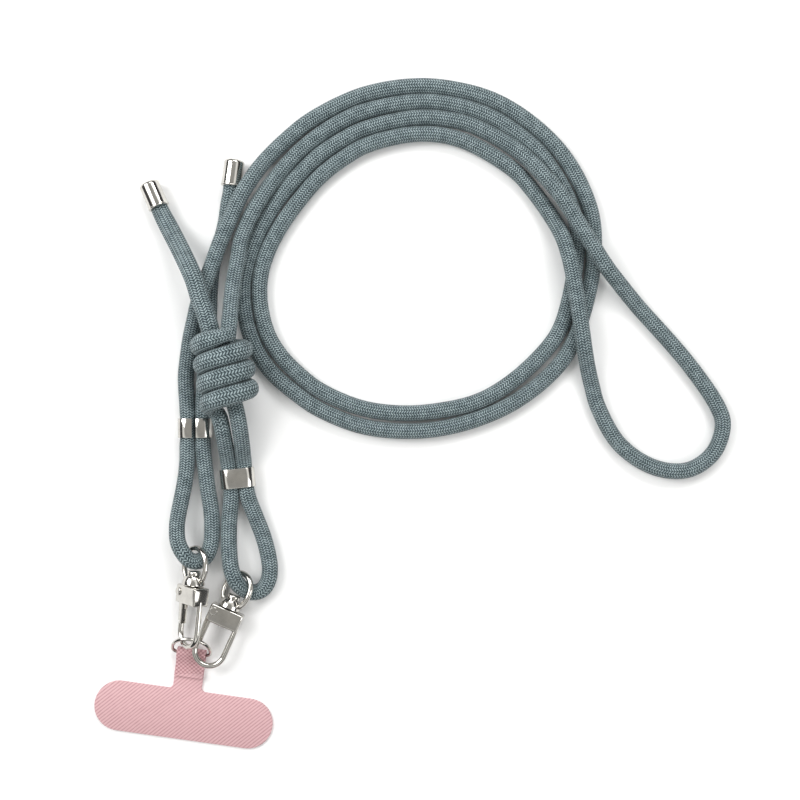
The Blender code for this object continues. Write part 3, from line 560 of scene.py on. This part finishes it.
def place(at, lean=0.0, drop=0.0, turn=0.0):
    """A frame whose Y is the long axis: leaning to the right, dropping, and turned about itself."""
    return (
        Matrix.Translation(Vector(at) * MM)
        @ Matrix.Rotation(-math.radians(lean), 4, "Z")
        @ Matrix.Rotation(-math.radians(drop), 4, "X")
        @ Matrix.Rotation(-math.radians(turn), 4, "Y")
    )


def band():
    """The bent strip, from one edge of the seam round to the other."""
    half = CLIP_INNER_H / 2 + CLIP_WALL
    straight = (CLIP_INNER_W - CLIP_INNER_H) / 2
    line = [(CLIP_SEAM / 2, half)] + arc((straight, 0), half, 90, -90, 16)
    line += arc((-straight, 0), half, 270, 90, 16) + [(-CLIP_SEAM / 2, half)]
    shape = bmesh.new()
    spots = [shape.verts.new((x, -CLIP_LEN / 2, z)) for x, z in line]
    edges = [shape.edges.new(pair) for pair in zip(spots, spots[1:])]
    grown = bmesh.ops.extrude_edge_only(shape, edges=edges)["geom"]
    far = [part for part in grown if isinstance(part, bmesh.types.BMVert)]
    bmesh.ops.translate(shape, vec=(0, CLIP_LEN, 0), verts=far)
    bmesh.ops.recalc_face_normals(shape, faces=shape.faces)
    outward = sum(face.normal.dot(face.calc_center_median()) for face in shape.faces)
    if outward < 0:
        bmesh.ops.reverse_faces(shape, faces=shape.faces)
    bmesh.ops.solidify(shape, geom=shape.faces, thickness=CLIP_WALL)
    rims = [edge for edge in shape.edges if edge.is_manifold and edge.calc_face_angle() > math.radians(60)]
    bmesh.ops.bevel(shape, geom=rims, offset=0.14 * MM, segments=2, profile=0.5, affect="EDGES",
                    material=-1)
    bmesh.ops.recalc_face_normals(shape, faces=shape.faces)
    return shape


metal_piece("rope_clip_1", band(), place((4.4, 95.9, 3.35)), "strap", "rope_clip_1")
metal_piece("rope_clip_2", band(), place((18.5, 79.3, 3.5), lean=-6.0, turn=180), "strap", "rope_clip_2")

# Snap hooks: a cast block with a bent wire hook let into it, a sprung gate on a rivet and a
# swivel, whose collar and bail turn on a riveted post. The rope passes through the bail.
BLOCK_W = 11.4 * MM
BLOCK_H = 6.0 * MM
BLOCK_D = 5.6 * MM
FRAME_WIRE = 1.9 * MM
FRAME_W = 9.9 * MM
FRAME_LEN = 15.0 * MM
FRAME_TIP = 8.4 * MM
TIP_STEP = 0.9 * MM
GATE_W = 2.2 * MM
GATE_T = 1.0 * MM
GAP = 0.3 * MM
HUB_R = 1.45 * MM
PIN_HEAD_R = 1.4 * MM
PIN = Vector((-BLOCK_W / 2 + 1.6 * MM, 0.7 * MM, 0))
SLOT_RIGHT = 0.8 * MM
POST_HEAD_R = 2.2 * MM
BASE_H = 3.0 * MM
COLLAR_R = 3.1 * MM
BAIL_WIRE = 1.8 * MM
BAIL_W = 12.0 * MM
BAIL_LEN = 13.4 * MM
HOOK_1 = dict(at=(4.0, 41.0, 6.9), lean=5.4, drop=0.0, turn=48.0, bail_turn=40.0)
HOOK_2 = dict(at=(14.4, 33.3, 4.4), lean=24.0, drop=3.0, turn=0.0, bail_turn=32.0)


def join(shape, other, matrix=None):
    """Adds another closed shape to a piece."""
    if matrix:
        bmesh.ops.transform(other, matrix=matrix, verts=other.verts)
    mesh = bpy.data.meshes.new("joined")
    other.to_mesh(mesh)
    other.free()
    shape.from_mesh(mesh)
    bpy.data.meshes.remove(mesh)


def box(low, high, edge):
    shape = bmesh.new()
    bmesh.ops.create_cube(shape, size=1.0)
    size = [b - a for a, b in zip(low, high)]
    bmesh.ops.scale(shape, vec=size, verts=shape.verts)
    bmesh.ops.bevel(shape, geom=shape.edges, offset=edge, segments=3, profile=0.5, affect="EDGES",
                    material=-1)
    bmesh.ops.translate(shape, vec=[(a + b) / 2 for a, b in zip(low, high)], verts=shape.verts)
    return shape


def wire(line, thick, spokes=20):
    """A bent round wire in the plane of the hook, with its ends eased."""
    path = [Vector((x, y, 0)) for x, y in line]
    ends = len(path) - 1
    return sweep(path, thick, thick, spokes, lambda i: UP, lambda i: 0.86 if i in (0, ends) else 1.0)


def cut_block(shape, cutter):
    """Cuts the gate's slot out of the block."""
    solids = []
    for name, part in (("block", shape), ("slot", cutter)):
        mesh = bpy.data.meshes.new(name)
        part.to_mesh(mesh)
        part.free()
        solids.append(bpy.data.objects.new(name, mesh))
        bpy.context.scene.collection.objects.link(solids[-1])
    cut = solids[0].modifiers.new("cut", "BOOLEAN")
    cut.object = solids[1]
    cut.solver = "EXACT"
    graph = bpy.context.evaluated_depsgraph_get()
    mesh = bpy.data.meshes.new_from_object(solids[0].evaluated_get(graph))
    result = bmesh.new()
    result.from_mesh(mesh)
    for solid in solids:
        bpy.data.objects.remove(solid, do_unlink=True)
    return result


def hook_shape():
    """The block with its slot, the wire hook, the rivet's heads and the swivel's post."""
    corner = (BLOCK_W / 2, BLOCK_H / 2, BLOCK_D / 2)
    slot_low = (-BLOCK_W, -BLOCK_W, -GATE_W / 2 - GAP)
    slot_high = (SLOT_RIGHT, PIN.y + HUB_R + GAP, GATE_W / 2 + GAP)
    shape = cut_block(box([-c for c in corner], corner, 0.55 * MM), box(slot_low, slot_high, 0.1 * MM))
    half = FRAME_W / 2
    bottom = -BLOCK_H / 2 - FRAME_LEN + FRAME_WIRE / 2 + half
    tip = -BLOCK_H / 2 - FRAME_LEN + FRAME_TIP
    line = [(half, -BLOCK_H / 4), (half, (bottom - BLOCK_H / 2) / 2)] + arc((0, bottom), half, 0, -180, 40)
    line += [(-half, tip - TIP_STEP), (-half, tip - 0.15 * MM), (-half, tip)]
    join(shape, wire(line, FRAME_WIRE))
    rivet = [(0, 0.5 * MM)] + arc((PIN_HEAD_R - 0.3 * MM, 0.1 * MM), 0.3 * MM, 80, 0, 5)
    rivet += [(PIN_HEAD_R, -0.3 * MM), (0, -0.3 * MM)]
    for side in (1, -1):
        on_face = Matrix.Translation(PIN + Vector((0, 0, side * BLOCK_D / 2)))
        join(shape, turned(rivet, 28), on_face @ Matrix.Rotation(side * math.pi / 2, 4, "X"))
    neck = BLOCK_H / 2 + BASE_H + 2 * GAP
    post = [(0, BLOCK_H / 4), (1.4 * MM, BLOCK_H / 4), (1.4 * MM, neck), (POST_HEAD_R - 0.15 * MM, neck)]
    post += [(POST_HEAD_R, neck + 0.2 * MM), (POST_HEAD_R, neck + 0.7 * MM)]
    post += arc((POST_HEAD_R - 0.8 * MM, neck + 0.7 * MM), 0.8 * MM, 10, 80, 5) + [(0, neck + 1.5 * MM)]
    join(shape, turned(post, 32))
    return shape


def gate_shape():
    """The flat lever, bent from strip round its rivet."""
    half = FRAME_W / 2
    lip = -BLOCK_H / 2 - FRAME_LEN + FRAME_TIP
    end, outside = lip - TIP_STEP + GAP, -half + GAP
    outline = [(PIN.x + x, PIN.y + y) for x, y in arc((0, 0), HUB_R, 150, 0, 14)] + [
        (outside + GATE_T, -BLOCK_H / 2), (outside + GATE_T, end), (outside, end), (outside, lip + GAP),
        (-half - FRAME_WIRE / 4, lip + GAP), (-half - FRAME_WIRE / 2, -BLOCK_H / 2),
    ]
    shape = bmesh.new()
    face = shape.faces.new([shape.verts.new((x, y, -GATE_W / 2)) for x, y in outline])
    grown = bmesh.ops.extrude_face_region(shape, geom=[face])["geom"]
    far = [part for part in grown if isinstance(part, bmesh.types.BMVert)]
    bmesh.ops.translate(shape, vec=(0, 0, GATE_W), verts=far)
    rims = [edge for edge in shape.edges if edge.calc_face_angle(0) > math.radians(50)]
    bmesh.ops.bevel(shape, geom=rims, offset=0.15 * MM, segments=2, profile=0.5, affect="EDGES",
                    material=-1)
    bmesh.ops.recalc_face_normals(shape, faces=shape.faces)
    return shape


def bail_shape():
    """The swivel's collar, with the bail's wire bent up out of its sides."""
    low = BLOCK_H / 2 + GAP
    high = low + BASE_H
    collar = [(1.7 * MM, low), (COLLAR_R + 0.45 * MM, low), (COLLAR_R + 0.6 * MM, low + 0.25 * MM)]
    collar += [(COLLAR_R + 0.5 * MM, low + 1.2 * MM), (COLLAR_R, high - 0.25 * MM)]
    collar += [(COLLAR_R - 0.2 * MM, high), (1.7 * MM, high)]
    shape = turned(collar, 40)
    half = (BAIL_W - BAIL_WIRE) / 2
    top = BLOCK_H / 2 + BAIL_LEN - BAIL_WIRE / 2 - half
    side = [
        (1.7 * MM + BAIL_WIRE / 2, low + BASE_H * 0.55), (3.5 * MM, low + BASE_H * 0.62),
        (half * 0.86, low + BASE_H * 0.95), (half, top - half * 0.4),
    ]
    line = side + arc((0, top), half, 0, 180, 10) + [(-x, y) for x, y in reversed(side)]
    smooth = [(p.x, p.y) for p in smooth_curve([Vector((x, y, 0)) for x, y in line], 3)]
    join(shape, wire(smooth, BAIL_WIRE))
    return shape


for number, where in ((1, HOOK_1), (2, HOOK_2)):
    block_frame = place(where["at"], where["lean"], where["drop"], where["turn"])
    bail_frame = place(where["at"], where["lean"], where["drop"], where["bail_turn"])
    metal_piece(f"snap_hook_{number}", hook_shape(), block_frame, f"hook_{number}", f"snap_hook_{number}")
    metal_piece(f"hook_gate_{number}", gate_shape(), block_frame, f"gate_{number}", f"hook_gate_{number}")
    metal_piece(f"swivel_bail_{number}", bail_shape(), bail_frame, "strap", f"swivel_bail_{number}")

# Tab and ring: a thin coated fabric plate that lies inside a phone case. Its neck comes out of
# the case's opening and is folded over the straight side of a half-oval wire ring.
TAB_W = 60.0 * MM
TAB_H = 16.6 * MM
TAB_T = 0.9 * MM
TAB_LEAN = math.radians(8.0)
NECK_W = 9.6 * MM
NECK_LEN = 12.6 * MM
NECK_FILLET = 1.5 * MM
FOLD_BACK = 8.0 * MM
RING_WIRE = 1.15 * MM
RING_W = 13.9 * MM
RING_H = 9.6 * MM
RING_TILT = math.radians(46.0)
EYE_FIT = 0.3 * MM
bar_y = TAB_H / 2 + NECK_LEN
eye = RING_WIRE / 2 + EYE_FIT + TAB_T
tab_frame = Matrix.Rotation(-TAB_LEAN, 4, "Z")

half = (RING_W - RING_WIRE) / 2
rise = RING_H - RING_WIRE
bar = NECK_W / 2 + GAP
right = [
    (bar * 0.5, 0), (bar, 0), (half * 0.96, rise * 0.1), (half, rise * 0.32),
    (half * 0.86, rise * 0.66), (half * 0.5, rise * 0.92),
]
ring_line = right + [(0, rise)] + [(-x, y) for x, y in reversed(right)]
ring_path = smooth_curve([Vector((x, y, 0)) for x, y in ring_line], 8, closed=True)
ring_shape = sweep(ring_path, RING_WIRE, RING_WIRE, 16, lambda i: UP, closed=True)
ring_frame = tab_frame @ Matrix.Translation((0, bar_y, eye)) @ Matrix.Rotation(RING_TILT, 4, "X")
metal_piece("d_ring", ring_shape, ring_frame, "strap", "d_ring")

tab_fabric = bpy.data.materials.new("tab_fabric")
tab_fabric.use_nodes = True
tree = tab_fabric.node_tree
shader = tree.nodes["Principled BSDF"]
place_node = tree.nodes.new("ShaderNodeTexCoord")
split = tree.nodes.new("ShaderNodeSeparateXYZ")
tree.links.new(place_node.outputs["Object"], split.inputs[0])


def rows(slope, pitch):
    """Ribs of the weave that run at an angle across the tab."""
    angle = math.radians(slope)
    over = maths(tree, "MULTIPLY", split.outputs["X"], -math.sin(angle) / pitch)
    up = maths(tree, "MULTIPLY_ADD", split.outputs["Y"], math.cos(angle) / pitch, over)
    return maths(tree, "ABSOLUTE", maths(tree, "SINE", maths(tree, "MULTIPLY", up, math.pi)))


ribs = rows(38, 0.95 * MM)
cross = rows(-44, 0.95 * MM)
folded = maths(tree, "MULTIPLY", maths(tree, "GREATER_THAN", split.outputs["Y"], 13.8 * MM), 0.8)
both = maths(tree, "SUBTRACT", ribs, maths(tree, "MULTIPLY", folded, maths(tree, "SUBTRACT", 1.0, cross)))
grain = tree.nodes.new("ShaderNodeTexNoise")
grain.inputs["Scale"].default_value = 700.0
grain.inputs["Detail"].default_value = 3.0
tree.links.new(place_node.outputs["Object"], grain.inputs["Vector"])
tone = maths(tree, "MULTIPLY_ADD", grain.outputs["Fac"], 0.3, maths(tree, "MULTIPLY_ADD", both, 0.75, -0.08))
pink = colours(tree, tone, (
    (0.0, (0.4, 0.19, 0.21)), (0.3, (0.56, 0.31, 0.33)), (0.7, (0.7, 0.44, 0.46)),
))
tree.links.new(pink, shader.inputs["Base Color"])
shader.inputs["Roughness"].default_value = 0.62
shader.inputs["Sheen Weight"].default_value = 0.1
weave = tree.nodes.new("ShaderNodeBump")
weave.inputs["Strength"].default_value = 0.55
weave.inputs["Distance"].default_value = 0.12 * MM
tree.links.new(both, weave.inputs["Height"])
tree.links.new(weave.outputs["Normal"], shader.inputs["Normal"])


def strip(outline, axis_from, axis_to, edge):
    """A plate between two levels from an outline, with its rims eased."""
    shape = bmesh.new()
    face = shape.faces.new([shape.verts.new((x, y, axis_from)) for x, y in outline])
    grown = bmesh.ops.extrude_face_region(shape, geom=[face])["geom"]
    far = [part for part in grown if isinstance(part, bmesh.types.BMVert)]
    bmesh.ops.translate(shape, vec=(0, 0, axis_to - axis_from), verts=far)
    rims = [
        rim for rim in shape.edges
        if abs(abs(rim.calc_face_angle(0)) - math.pi / 2) < 0.3
        and abs(rim.verts[0].co.z - rim.verts[1].co.z) < 1e-7
    ]
    bmesh.ops.bevel(shape, geom=rims, offset=edge, segments=2, profile=0.5, affect="EDGES",
                    material=-1)
    bmesh.ops.recalc_face_normals(shape, faces=shape.faces)
    return shape


end_r = TAB_H / 2
side = (TAB_W - TAB_H) / 2
neck = NECK_W / 2
fillet = arc((neck + NECK_FILLET, end_r + NECK_FILLET), NECK_FILLET, 270, 180, 8)
outline = arc((side, 0), end_r, -90, 90, 36) + fillet + [(neck, bar_y)]
outline += [(-x, y) for x, y in reversed(fillet + [(neck, bar_y)])] + arc((-side, 0), end_r, 90, 270, 36)
tab_shape = strip(outline, 0, TAB_T, 0.16 * MM)
back = bar_y - FOLD_BACK
outer = [(bar_y, 0)] + arc((bar_y, eye), eye, -75, 105, 18)
outer += [(bar_y - eye * 1.6, TAB_T * 2.4), (bar_y - eye * 2.4, TAB_T * 2), (back, TAB_T * 2)]
inner = [(back, TAB_T), (bar_y - eye * 2.2, TAB_T), (bar_y - eye * 1.3, TAB_T * 1.35)]
inner += arc((bar_y, eye), eye - TAB_T, 110, -90, 18)
fold_shape = strip(outer + inner, -neck, neck, 0.14 * MM)
on_side = Matrix(((0, 0, 1, 0), (1, 0, 0, 0), (0, 1, 0, 0), (0, 0, 0, 1)))
join(tab_shape, fold_shape, on_side)
bmesh.ops.transform(tab_shape, matrix=tab_frame, verts=tab_shape.verts)
tab = add_piece("phone_tab", tab_shape, tab_fabric, 50)
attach(tab, "strap")
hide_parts("phone_tab")
